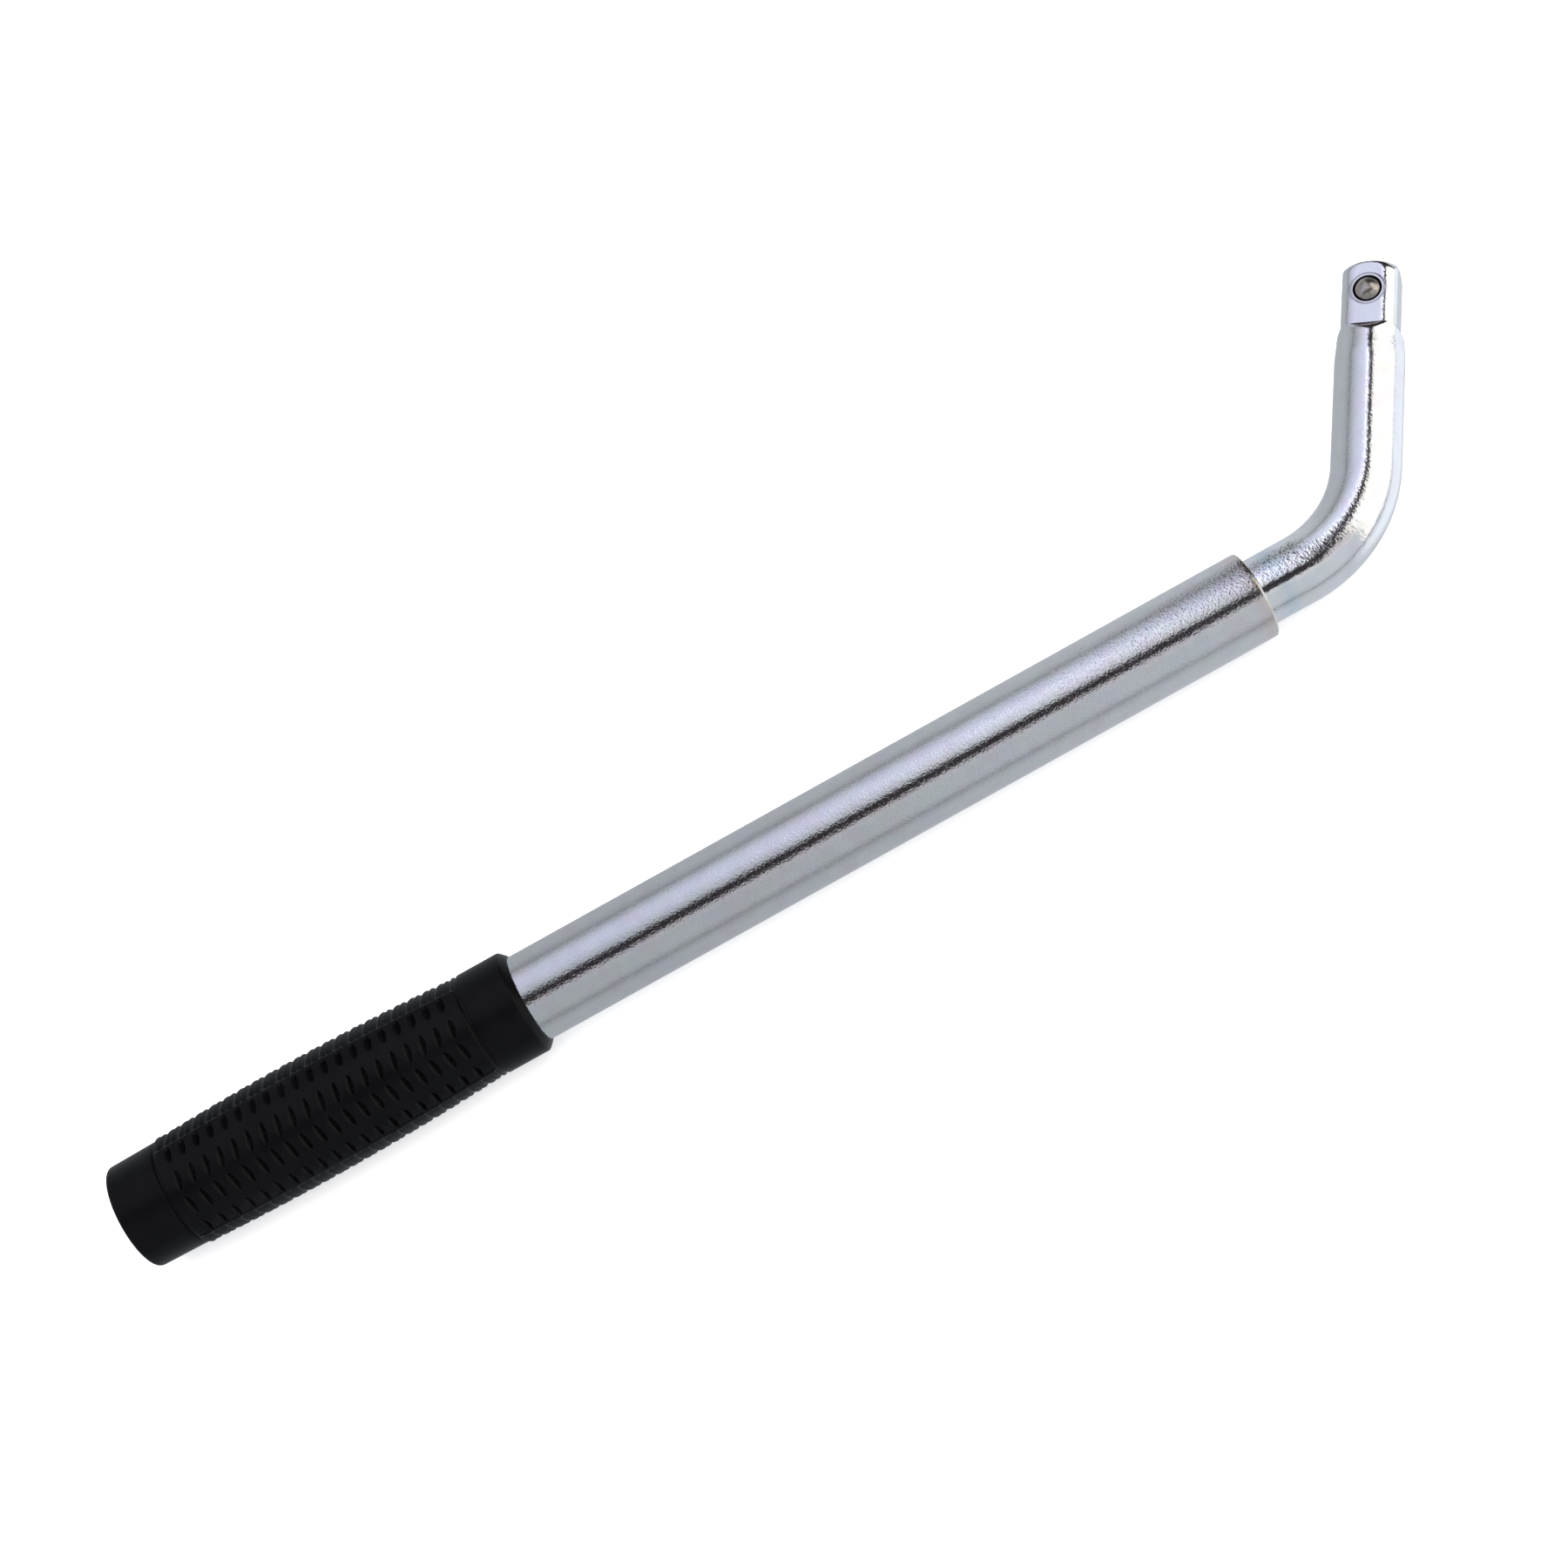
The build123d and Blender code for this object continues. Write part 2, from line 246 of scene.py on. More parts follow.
def barrel_radius(x):
    """Outline of the ribbed barrel: two flat arcs that meet at its widest place."""
    x_max = GRIP_LOW.x + BARREL_MAX_FROM_REAR
    x_rear = GRIP_LOW.x + REAR_BAND_LENGTH + PARTING_WIDTH
    x_front = GRIP_HIGH.x - FRONT_BAND_LENGTH - PARTING_WIDTH
    fall_rear = (BARREL_MAX_R - BARREL_REAR_R) * ((x - x_max) / (x_rear - x_max)) ** 2
    fall_front = (BARREL_MAX_R - BARREL_FRONT_R) * ((x - x_max) / (x_front - x_max)) ** 2
    return BARREL_MAX_R - np.where(x < x_max, fall_rear, fall_front)


def pocket_section(place):
    """Depth across a pocket, 0 to 1: a shoulder rolls down from the rear edge to a steep front wall."""
    down = np.clip((place + 1) / (POCKET_DEEPEST + 1), 0, 1) ** SHOULDER_ROLL
    wall = np.clip((1 - place) / (1 - POCKET_DEEPEST), 0, 1)
    return np.minimum(down, smooth(wall))


def grip_relief(x, turn):
    """Height of the moulded pattern at a place: pockets in rows, raised ribs and grooved sides."""
    degrees = np.abs((np.degrees(turn) + 180) % 360 - 180)
    degrees = np.where(degrees > 90, 180 - degrees, degrees)
    along = (x - GRIP_LOW.x - FIRST_POCKET_FROM_REAR) / SCALE_PITCH
    depth = np.zeros(np.broadcast(x, turn).shape)
    for middle, half, lean in POCKET_ROWS:
        across = (degrees - middle) / half
        lens = np.sqrt(np.clip(1 - across ** 2, 0, 1))
        shifted = along - lean * MM * (degrees - middle) / SCALE_PITCH
        number = np.round(shifted)
        inside = (number >= 0) & (number < SCALE_COUNT) & (lens > 0)
        place = (shifted - number) * SCALE_PITCH / (POCKET_HALF_WIDTH * np.maximum(lens, 0.05))
        depth += np.where(inside, POCKET_DEPTH * np.sqrt(lens) * pocket_section(place), 0)
    beyond = degrees - SIDE_GROOVE_START
    shifted = along - SIDE_GROOVE_LEAN * MM * beyond / SCALE_PITCH - SIDE_GROOVE_SHIFT
    number = np.round(shifted)
    place = (shifted - number) * SCALE_PITCH / SIDE_GROOVE_HALF_WIDTH
    inside = (number >= -1) & (number <= SCALE_COUNT)
    midway = MIDWAY_GROOVE_DEPTH * (2 * (shifted - number)) ** 2
    groove = SIDE_GROOVE_DEPTH * pocket_section(place) + midway
    fade_in = smooth((beyond + SIDE_GROOVE_EARLY) / SIDE_GROOVE_LEAD_IN)
    depth += np.where(inside, groove * fade_in, 0)
    rib = RIB_RISE * (1 - smooth(np.abs(degrees - RIB_ANGLE) / RIB_HALF_WIDTH))
    return rib - depth


def grip_rings(around=400, steps_per_pitch=20):
    """Rings of the grip from the middle of the butt, over the barrel and into the bore."""
    x_rear_band = GRIP_LOW.x + REAR_BAND_LENGTH
    x_barrel_rear = x_rear_band + PARTING_WIDTH
    x_front_band = GRIP_HIGH.x - FRONT_BAND_LENGTH
    x_barrel_front = x_front_band - PARTING_WIDTH
    edge_x, edge_r = GRIP_LOW.x + BUTT_DOME, BUTT_R - BUTT_ROUND
    dome = [(GRIP_LOW.x + BUTT_DOME * t ** 2, edge_r * t) for t in np.linspace(0.05, 0.97, 12)]
    butt = arc((edge_x + BUTT_ROUND, edge_r), BUTT_ROUND, 180, 90, 16)
    band_start = edge_x + BUTT_ROUND
    band_length = x_rear_band - 0.25 * MM - band_start
    rear_band = [
        (band_start + band_length * t, BUTT_R + (REAR_BAND_R - BUTT_R) * t)
        for t in np.linspace(0.08, 1, 10)
    ]
    floor_r = REAR_BAND_R - PARTING_DEPTH
    rear_groove = [
        (x_rear_band - 0.12 * MM, REAR_BAND_R - 0.06 * MM),
        (x_rear_band, REAR_BAND_R - 0.24 * MM),
        (x_rear_band + 0.1 * MM, floor_r),
        (x_barrel_rear - 0.2 * MM, floor_r),
    ]
    barrel_steps = int((x_barrel_front - x_barrel_rear) / SCALE_PITCH * steps_per_pitch)
    barrel_x = np.linspace(x_barrel_rear, x_barrel_front, barrel_steps)
    from_rear, from_front = barrel_x - x_barrel_rear, x_barrel_front - barrel_x
    ends = smooth(from_rear / BARREL_EDGE_DROP) * smooth(from_front / BARREL_EDGE_DROP)
    drop = BARREL_EDGE_DROP * (1 - ends)
    barrel = [(x, r - d) for x, r, d in zip(barrel_x, barrel_radius(barrel_x), drop)]
    front_floor = FRONT_BAND_R - PARTING_DEPTH
    front_groove = [
        (x_barrel_front + 0.15 * MM, front_floor),
        (x_front_band - 0.1 * MM, front_floor),
        (x_front_band, FRONT_BAND_R - 0.2 * MM),
        (x_front_band + 0.08 * MM, FRONT_BAND_R - 0.05 * MM),
    ]
    x_rim = GRIP_HIGH.x - FRONT_RIM
    front_band = [(x, FRONT_BAND_R) for x in np.linspace(x_front_band + 0.3 * MM, x_rim - 0.25 * MM, 8)]
    bore_r = TUBE_R + 0.02 * MM
    rim = [
        (x_rim, FRONT_BAND_R - 0.07 * MM),
        (x_rim + 0.3 * MM, FRONT_BAND_R - 0.3 * MM),
        (GRIP_HIGH.x - 0.2 * MM, FRONT_BAND_R - FRONT_RIM + 0.2 * MM),
        (GRIP_HIGH.x, FRONT_BAND_R - FRONT_RIM - 0.05 * MM),
        (GRIP_HIGH.x, bore_r + 0.12 * MM),
        (GRIP_HIGH.x - 0.12 * MM, bore_r),
        (GRIP_LOW.x + GRIP_WALL_END, bore_r),
    ]
    profile = np.array(dome + butt + rear_band + rear_groove + barrel + front_groove + front_band + rim)
    turn = np.linspace(0, 2 * math.pi, around, endpoint=False)
    first = len(dome + butt + rear_band + rear_groove)
    radius = np.repeat(profile[:, 1, None], around, axis=1)
    margin = smooth(from_rear / PATTERN_MARGIN) * smooth(from_front / PATTERN_MARGIN)
    relief = grip_relief(barrel_x[:, None], turn[None, :]) * margin[:, None]
    patterned = slice(first, first + barrel_steps)
    radius[patterned] = np.minimum(radius[patterned] + relief, BARREL_MAX_R)
    rings = np.empty((len(profile), around, 3))
    rings[..., 0] = profile[:, 0, None]
    rings[..., 1] = AXIS_Y - radius * np.sin(turn + PATTERN_TURN)
    rings[..., 2] = AXIS_Z + radius * np.cos(turn + PATTERN_TURN)
    return rings


def bar_path():
    """Stations along the bar from its inner end to the tip: length so far, place and direction."""
    bend_end = TIP - ARM * ARM_LENGTH
    inward = Vector((-math.sin(BEND), math.cos(BEND), 0))
    centre = bend_end + inward * BEND_RADIUS
    bend_start = centre - Vector((0, BEND_RADIUS, 0))
    inner_end = Vector((BAR_LOW.x, AXIS_Y, AXIS_Z))
    straight = bend_start.x - inner_end.x
    bend_length = BEND_RADIUS * BEND
    total = straight + bend_length + ARM_LENGTH
    grooves = []
    for low, high in ((STOP_LOW, STOP_HIGH), (FRICTION_LOW, FRICTION_HIGH)):
        for wall in (low.x - RING_SIDE_CLEARANCE, high.x + RING_SIDE_CLEARANCE):
            edge = wall - inner_end.x
            grooves += [edge - 0.02 * MM, edge + 0.02 * MM]
    drive_start = total - SQUARE_LENGTH - SHOULDER_RISE - CORNER_CONE
    shoulder_start = total - SQUARE_LENGTH - SHOULDER_RISE - 0.5 * MM
    square_start = total - SQUARE_LENGTH + 0.3 * MM
    lengths = np.unique(np.round(np.concatenate([
        [0, 0.5 * BAR_END_CHAMFER, BAR_END_CHAMFER],
        np.linspace(2 * MM, straight, 60),
        grooves,
        np.linspace(straight, straight + bend_length, 60),
        np.linspace(straight + bend_length, drive_start, 24),
        np.linspace(drive_start, shoulder_start, 16),
        np.linspace(shoulder_start, square_start, 26),
        np.linspace(square_start, total - TIP_ROUND, 36),
        total - TIP_ROUND * (1 - np.sin(np.linspace(0, math.pi / 2, 22))),
    ]), 8))
    stations = []
    for s in lengths:
        if s <= straight:
            stations.append((s, inner_end + Vector((s, 0, 0)), Vector((1, 0, 0))))
        elif s <= straight + bend_length:
            a = (s - straight) / BEND_RADIUS
            outward = Vector((math.sin(a), -math.cos(a), 0))
            stations.append((s, centre + BEND_RADIUS * outward, Vector((math.cos(a), math.sin(a), 0))))
        else:
            stations.append((s, bend_end + ARM * (s - straight - bend_length), ARM))
    return stations, total


def bar_radius(s, total):
    """Turned radius of the bar at a station, with its ring grooves, corner cone and rounded tip."""
    left = total - s
    radius = BAR_R
    grooves = ((STOP_LOW, STOP_HIGH, STOP_GROOVE_R), (FRICTION_LOW, FRICTION_HIGH, FRICTION_GROOVE_R))
    for low, high, groove_r in grooves:
        start = low.x - RING_SIDE_CLEARANCE - BAR_LOW.x
        end = high.x + RING_SIDE_CLEARANCE - BAR_LOW.x
        if start < s < end:
            radius = groove_r
    if s < BAR_END_CHAMFER:
        radius = BAR_R - (BAR_END_CHAMFER - s)
    cone_start = SQUARE_LENGTH + SHOULDER_RISE
    if left < cone_start + CORNER_CONE:
        rise = max(0.0, (left - cone_start) / CORNER_CONE)
        radius = SQUARE_CORNER_R + (BAR_R - SQUARE_CORNER_R) * 0.5 * (rise + smooth(rise))
    if left < TIP_ROUND:
        rounded = math.sqrt(max(0.0, TIP_ROUND ** 2 - (TIP_ROUND - left) ** 2))
        radius = SQUARE_CORNER_R - TIP_ROUND + rounded
    return float(radius)


def flat_distance(s, total):
    """Distance of the four flats from the arm's axis: the square, then an incline out to the bar."""
    rise = max(0.0, total - s - SQUARE_LENGTH) / SHOULDER_RISE
    return SQUARE / 2 + (BAR_R - SQUARE / 2) * rise


def bar_rings(around=360):
    """Rings of the drive bar: circles cut by the four flats, with edges broken by a small radius."""
    turn = np.linspace(0, 2 * math.pi, around, endpoint=False)
    up = Vector((0, 0, 1))
    twist = math.atan2(BALL_FLAT_NORMAL.dot(ARM.cross(up)), BALL_FLAT_NORMAL.z)
    nearest = (turn - twist + math.pi / 4) % (math.pi / 2) - math.pi / 4
    stations, total = bar_path()
    rings = np.empty((len(stations), around, 3))
    for i, (s, place, along) in enumerate(stations):
        circle = np.full(around, bar_radius(s, total))
        flat = flat_distance(s, total) / np.cos(nearest)
        gap = np.clip(0.5 + (flat - circle) / (2 * EDGE_BREAK), 0, 1)
        radius = flat * (1 - gap) + circle * gap - EDGE_BREAK * gap * (1 - gap)
        side = along.cross(up)
        outward = np.outer(np.cos(turn), up) + np.outer(np.sin(turn), side)
        rings[i] = np.array(place) + radius[:, None] * outward
    return rings, stations


def cut(mesh, cutter_mesh):
    """Exact boolean difference of two meshes, as a new mesh."""
    body = bpy.data.objects.new("cut_body", mesh)
    cutter = bpy.data.objects.new("cut_tool", cutter_mesh)
    for thing in (body, cutter):
        bpy.context.scene.collection.objects.link(thing)
    difference = body.modifiers.new("difference", "BOOLEAN")
    difference.operation, difference.object, difference.solver = "DIFFERENCE", cutter, "EXACT"
    graph = bpy.context.evaluated_depsgraph_get()
    result = bpy.data.meshes.new_from_object(body.evaluated_get(graph))
    weld = bmesh.new()
    weld.from_mesh(result)
    bmesh.ops.remove_doubles(weld, verts=weld.verts, dist=WELD_DISTANCE)
    weld.to_mesh(result)
    weld.free()
    for thing in (body, cutter):
        bpy.data.objects.remove(thing)
    return result


def ball_hole_cutter():
    """Solid of the detent hole and the staking groove round it, standing on the ball's flat."""
    half = SQUARE / 2
    above = 3 * MM
    hole = [
        (half - BALL_HOLE_DEPTH, BALL_HOLE_R),
        (half - THROAT_START_DEPTH, BALL_HOLE_R),
        (half - THROAT_DEPTH, THROAT_R),
        (half - 0.12 * MM, THROAT_R + 0.05 * MM),
        (half, THROAT_FLARE_R),
        (half + above, THROAT_FLARE_R + above),
    ]
    groove_in, groove_out = STAKE_RING_R - STAKE_RING_WIDTH / 2, STAKE_RING_R + STAKE_RING_WIDTH / 2
    groove = [
        (half + above, groove_out + 0.1 * MM),
        (half + 0.02 * MM, groove_out + 0.1 * MM),
        (half - STAKE_RING_DEPTH, STAKE_RING_R + 0.08 * MM),
        (half - STAKE_RING_DEPTH, STAKE_RING_R - 0.08 * MM),
        (half + 0.02 * MM, groove_in - 0.02 * MM),
        (half + above, groove_in - 0.02 * MM),
    ]
    third = BALL_FLAT_NORMAL.cross(ARM)
    to_frame = Matrix.Translation(TIP - ARM * BALL_FROM_TIP) @ Matrix((
        (BALL_FLAT_NORMAL.x, ARM.x, third.x, 0),
        (BALL_FLAT_NORMAL.y, ARM.y, third.y, 0),
        (BALL_FLAT_NORMAL.z, ARM.z, third.z, 0),
        (0, 0, 0, 1),
    ))
    around = 128
    turn = np.linspace(0, 2 * math.pi, around, endpoint=False)

    def turned(profile):
        profile = np.array(profile)
        rings = np.empty((len(profile), around, 3))
        rings[..., 0] = profile[:, 0, None]
        rings[..., 1] = profile[:, 1, None] * np.cos(turn)
        rings[..., 2] = profile[:, 1, None] * np.sin(turn)
        return rings

    drill_point = (hole[0][0] - 1.9 * MM, 0, 0)
    tools = [
        skin("hole", turned(hole), cap_start=drill_point, cap_end=(hole[-1][0], 0, 0)),
        skin("groove", turned(groove), loop=True),
    ]
    for tool in tools:
        tool.transform(to_frame)
        fix = bmesh.new()
        fix.from_mesh(tool)
        bmesh.ops.recalc_face_normals(fix, faces=fix.faces)
        fix.to_mesh(tool)
        fix.free()
    return tools


# ---------------------------------------------------------------- shader helpers
class Nodes:
    """Small wrapper of a node tree that adds nodes and links in one call."""

    def __init__(self, tree):
        self.tree = tree

    def give(self, socket, value):
        """Link the socket to another one, or set its value."""
        if isinstance(value, bpy.types.NodeSocket):
            self.tree.links.new(value, socket)
        else:
            socket.default_value = value

    def node(self, kind, inputs=None, **settings):
        made = self.tree.nodes.new(kind)
        for key, value in settings.items():
            setattr(made, key, value)
        for key, value in (inputs or {}).items():
            self.give(made.inputs[key], value)
        return made

    def maths(self, operation, a, b=0.0, c=0.0):
        return self.node("ShaderNodeMath", {0: a, 1: b, 2: c}, operation=operation).outputs[0]

    def vector_maths(self, operation, a, b):
        return self.node("ShaderNodeVectorMath", {0: a, 1: b}, operation=operation)


class Shader(Nodes):
    """Nodes of a new material, round its Principled shader."""

    def __init__(self, name):
        self.material = bpy.data.materials.new(name)
        self.material.use_nodes = True
        super().__init__(self.material.node_tree)
        self.bsdf = self.tree.nodes["Principled BSDF"]

    def set(self, **values):
        """Values or links on the Principled shader, with underscores for spaces in the socket names."""
        for key, value in values.items():
            self.give(self.bsdf.inputs[key.replace("_", " ")], value)

    def coords(self):
        return self.node("ShaderNodeTexCoord").outputs["Object"]

    def noise(self, vector, scale, detail=3.0, roughness=0.5, distortion=0.0):
        return self.node("ShaderNodeTexNoise", {
            "Vector": vector, "Scale": scale, "Detail": detail,
            "Roughness": roughness, "Distortion": distortion,
        }).outputs["Fac"]

    def remap(self, value, low, high, to_low=0.0, to_high=1.0):
        return self.node("ShaderNodeMapRange", {
            "Value": value, "From Min": low, "From Max": high, "To Min": to_low, "To Max": to_high,
        }, interpolation_type="SMOOTHSTEP").outputs["Result"]

    def mix(self, factor, a, b):
        made = self.node("ShaderNodeMix", {0: factor, 6: a, 7: b}, data_type="RGBA")
        return made.outputs[2]

    def tinted(self, colour, tint):
        """Colour, as a value or a link, multiplied by a tint."""
        colours = {0: 1.0, 6: colour, 7: tint}
        return self.node("ShaderNodeMix", colours, data_type="RGBA", blend_type="MULTIPLY").outputs[2]

    def edges(self, low, high):
        """1 on outward edges, 0 elsewhere."""
        return self.remap(self.node("ShaderNodeNewGeometry").outputs["Pointiness"], low, high)

    def bump(self, height, strength, distance, under=None):
        inputs = {"Height": height, "Strength": strength, "Distance": distance}
        if under is not None:
            inputs["Normal"] = under
        return self.node("ShaderNodeBump", inputs).outputs["Normal"]


# Faint cloudy tints of the plating: noise scale, shift of the noise in metres, and the tint's colour
CLOUD_TINTS = (
    (210, 0.0, (0.97, 1.0, 0.965, 1)),
    (240, 0.31, (0.975, 0.965, 1.0, 1)),
    (190, 0.57, (1.0, 0.965, 0.965, 1)),
)
MARK_COLOUR = (0.40, 0.39, 0.38, 1)
# outward edges of the plating: lighter as rubbed wear and as a painted highlight
RUBBED_WEAR_AND_HIGHLIGHT_COLOUR = (0.93, 0.92, 0.90, 1)
# colour of the painted shade in the gap round the ball and in its staking groove
PAINTED_SHADE_COLOUR = (0.015, 0.013, 0.011, 1)
STREAK_DEPTH = 0.006 * MM


def plating(
    name, grain, colour, roughness, waviness, pit_depth, heat_tints, worked=None, shade_mask_of=None
):
    """Bright zinc plating: pitting, faint cloudy tints, heat tints at given lengths, outward edges lighter as
    rubbed wear and as a painted highlight, and painted shade where a shade mask is given.
    """
    s = Shader(name)
    if grain == "attribute":
        where = s.node("ShaderNodeAttribute", attribute_name="grain").outputs["Vector"]
    else:
        where = s.coords()
    length = s.node("ShaderNodeSeparateXYZ", {"Vector": where}).outputs["X"]
    stretched = s.node("ShaderNodeMapping", {"Vector": where, "Scale": (0.12, 1, 1)}).outputs["Vector"]
    streaks = s.noise(stretched, 2600, 2, 0.6)
    pitting = s.noise(where, 1900, 2, 0.6)
    waves = s.noise(where, 900, 2, 0.5)
    grit = s.noise(where, 1500, 2, 0.6)
    base = colour
    for scale, offset, tint in CLOUD_TINTS:
        shift = {"Vector": where, "Location": (offset, offset, 0)}
        moved = s.node("ShaderNodeMapping", shift).outputs["Vector"]
        patch = s.remap(s.noise(moved, scale, 2, 0.5), 0.45, 0.62)
        base = s.mix(patch, base, s.tinted(base, tint))
    for place, width, tint in heat_tints:
        near = s.remap(s.maths("ABSOLUTE", s.maths("SUBTRACT", length, place)), 0, width, 1, 0)
        patch = s.maths("MULTIPLY", near, s.remap(s.noise(where, 330, 3, 0.6), 0.3, 0.6, 0.35, 1))
        base = s.mix(patch, base, s.tinted(base, tint))
    marks = s.remap(s.noise(where, 620, 4, 0.7), 0.68, 0.76)
    base = s.mix(s.maths("MULTIPLY", marks, 0.30), base, MARK_COLOUR)
    # outward edges lighter: rubbed wear, which also paints a highlight along them
    edges = s.edges(0.53, 0.60)
    base = s.mix(s.maths("MULTIPLY", edges, 0.35), base, RUBBED_WEAR_AND_HIGHLIGHT_COLOUR)
    rough = s.maths("MULTIPLY_ADD", grit, 0.06, roughness - 0.03)
    rough = s.maths("MULTIPLY_ADD", marks, 0.10, rough)
    rough = s.maths("MULTIPLY_ADD", edges, 0.04, rough)
    if worked is not None:
        centre, half_length = worked
        distance = s.maths("ABSOLUTE", s.maths("SUBTRACT", length, centre))
        near = s.remap(distance, 0.7 * half_length, half_length, 1, 0.6)
        waves = s.maths("MULTIPLY", waves, near)
    # painted shade: the base colour goes dark, and rougher, where the given mask is 1
    if shade_mask_of is not None:
        gap_shade_mask = shade_mask_of(s)
        base = s.mix(gap_shade_mask, base, PAINTED_SHADE_COLOUR)
        rough = s.maths("MULTIPLY_ADD", gap_shade_mask, 0.4, rough)
    normal = s.bump(waves, 1.0, waviness)
    normal = s.bump(streaks, 0.25, STREAK_DEPTH, normal)
    normal = s.bump(pitting, 1.0, pit_depth, normal)
    s.set(Base_Color=base, Metallic=1.0, Roughness=rough, Normal=normal, IOR=1.5)
    return s.material


def ball_gap_painted_shade(s):
    """Mask of painted shade: 1 in the gap round the ball and, more faintly, in the staking groove."""
    on_axis = TIP - ARM * BALL_FROM_TIP
    offset = s.vector_maths("SUBTRACT", s.coords(), tuple(on_axis)).outputs[0]
    height = s.vector_maths("DOT_PRODUCT", offset, tuple(BALL_FLAT_NORMAL)).outputs["Value"]
    distance = s.node("ShaderNodeVectorMath", {0: offset}, operation="LENGTH").outputs["Value"]
    distance_squared = s.maths("MULTIPLY", distance, distance)
    squared = s.maths("SUBTRACT", distance_squared, s.maths("MULTIPLY", height, height))
    radius = s.maths("SQRT", s.maths("MAXIMUM", squared, 0.0))
    below = s.remap(height, SQUARE / 2 - 0.06 * MM, SQUARE / 2 - 0.01 * MM, 1, 0)
    front = s.remap(height, 0.0, 1.0 * MM)
    hole = s.remap(radius, THROAT_FLARE_R + 0.06 * MM, THROAT_FLARE_R + 0.16 * MM, 1, 0)
    groove = s.remap(radius, STAKE_RING_R + STAKE_RING_WIDTH, STAKE_RING_R + 2 * STAKE_RING_WIDTH, 0.2, 0)
    return s.maths("MULTIPLY", front, s.maths("MAXIMUM", hole, s.maths("MULTIPLY", groove, below)))


def moulding(name):
    """Black moulded grip: fine grain, a little dust in patches, and polish and lighter colour on the outward
    edges, which is wear and a painted highlight.
    """
    s = Shader(name)
    where = s.coords()
    grain = s.noise(where, 3200, 3, 0.6)
    mottle = s.noise(where, 210, 3, 0.55)
    smear = s.noise(where, 55, 3, 0.6, 0.8)
    base = s.mix(s.remap(mottle, 0.35, 0.7), (0.0020, 0.0020, 0.0024, 1), (0.0028, 0.0028, 0.0033, 1))
    base = s.mix(s.remap(smear, 0.58, 0.78, 0, 0.5), base, (0.0065, 0.0064, 0.0070, 1))
    # outward edges lighter and smoother: wear, and a painted highlight on the pockets' crescents
    edge_wear_and_highlight = s.edges(0.54, 0.62)
    base = s.mix(s.maths("MULTIPLY", edge_wear_and_highlight, 0.5), base, (0.0080, 0.0080, 0.0090, 1))
    rough = s.maths("MULTIPLY_ADD", mottle, 0.12, 0.28)
    rough = s.maths("MULTIPLY_ADD", edge_wear_and_highlight, -0.05, rough)
    normal = s.bump(mottle, 0.25, 0.05 * MM)
    normal = s.bump(grain, 0.35, 0.02 * MM, normal)
    s.set(Base_Color=base, Roughness=rough, Normal=normal, IOR=1.45, Specular_IOR_Level=0.14)
    return s.material


def plain_plastic(name, colour):
    """Natural nylon of the hidden rings and plug."""
    s = Shader(name)
    where = s.coords()
    cloud = s.noise(where, 300, 3)
    base = s.mix(s.remap(cloud, 0.3, 0.7), colour, tuple(0.86 * c for c in colour[:3]) + (1,))
    s.set(Base_Color=base, Roughness=s.maths("MULTIPLY_ADD", cloud, 0.2, 0.4), Subsurface_Weight=0.1,
          Subsurface_Scale=2 * MM, Normal=s.bump(s.noise(where, 2500), 0.2, 0.02 * MM))
    return s.material


def bare_steel(name, colour, roughness, scale=900):
    """Oiled or polished steel of the ball, spring and ring."""
    s = Shader(name)
    where = s.coords()
    cloud = s.noise(where, scale, 3, 0.6)
    base = s.mix(s.remap(cloud, 0.35, 0.7), colour, tuple(0.62 * c for c in colour[:3]) + (1,))
    s.set(Base_Color=base, Metallic=1.0, Roughness=s.maths("MULTIPLY_ADD", cloud, 0.12, roughness),
          Normal=s.bump(s.noise(where, 4 * scale), 0.15, 0.01 * MM))
    return s.material


def floor_paint(name):
    """Plain pale floor."""
    s = Shader(name)
    where = s.coords()
    cloud = s.noise(where, 6, 3)
    s.set(Base_Color=s.mix(s.remap(cloud, 0.3, 0.7), (0.90, 0.90, 0.90, 1), (0.88, 0.88, 0.885, 1)),
          Roughness=0.6, Specular_IOR_Level=0.2, Emission_Color=(1, 1, 1, 1), Emission_Strength=0.5)
    return s.material


# ---------------------------------------------------------------- pieces
def store_grain(mesh):
    """Coordinates that follow the bend: length along the bar, then the place across it."""
    centre_x = MOUTH.x + BAR_PROUD
    centre_y = AXIS_Y + BEND_RADIUS
    points = np.empty(3 * len(mesh.vertices), np.float32)
    mesh.vertices.foreach_get("co", points)
    x, y, z = points.reshape(-1, 3).T
    turn = np.clip(np.arctan2(x - centre_x, centre_y - y), 0, BEND)
    along_x, along_y = np.cos(turn), np.sin(turn)
    from_path_x = x - centre_x - BEND_RADIUS * along_y
    from_path_y = y - centre_y + BEND_RADIUS * along_x
    length = centre_x - BAR_LOW.x + BEND_RADIUS * turn + from_path_x * along_x + from_path_y * along_y
    across = from_path_x * along_y - from_path_y * along_x
    followed = np.stack([length, across, z - AXIS_Z], axis=1).astype(np.float32)
    grain = mesh.attributes.new("grain", "FLOAT_VECTOR", "POINT")
    grain.data.foreach_set("vector", followed.ravel())


def build_tube(material):
    mesh = spin_loop("outer_tube_skin", tube_profile(), 192)
    finish_piece("outer_tube_skin", mesh, "outer_tube", "handle", material)


def build_grip(material):
    rings = grip_rings()
    mesh = skin(
        "grip_skin", rings,
        cap_start=(GRIP_LOW.x, AXIS_Y, AXIS_Z), cap_end=(GRIP_LOW.x + GRIP_WALL_END, AXIS_Y, AXIS_Z),
    )
    finish_piece("grip_skin", mesh, "grip", "handle", material)


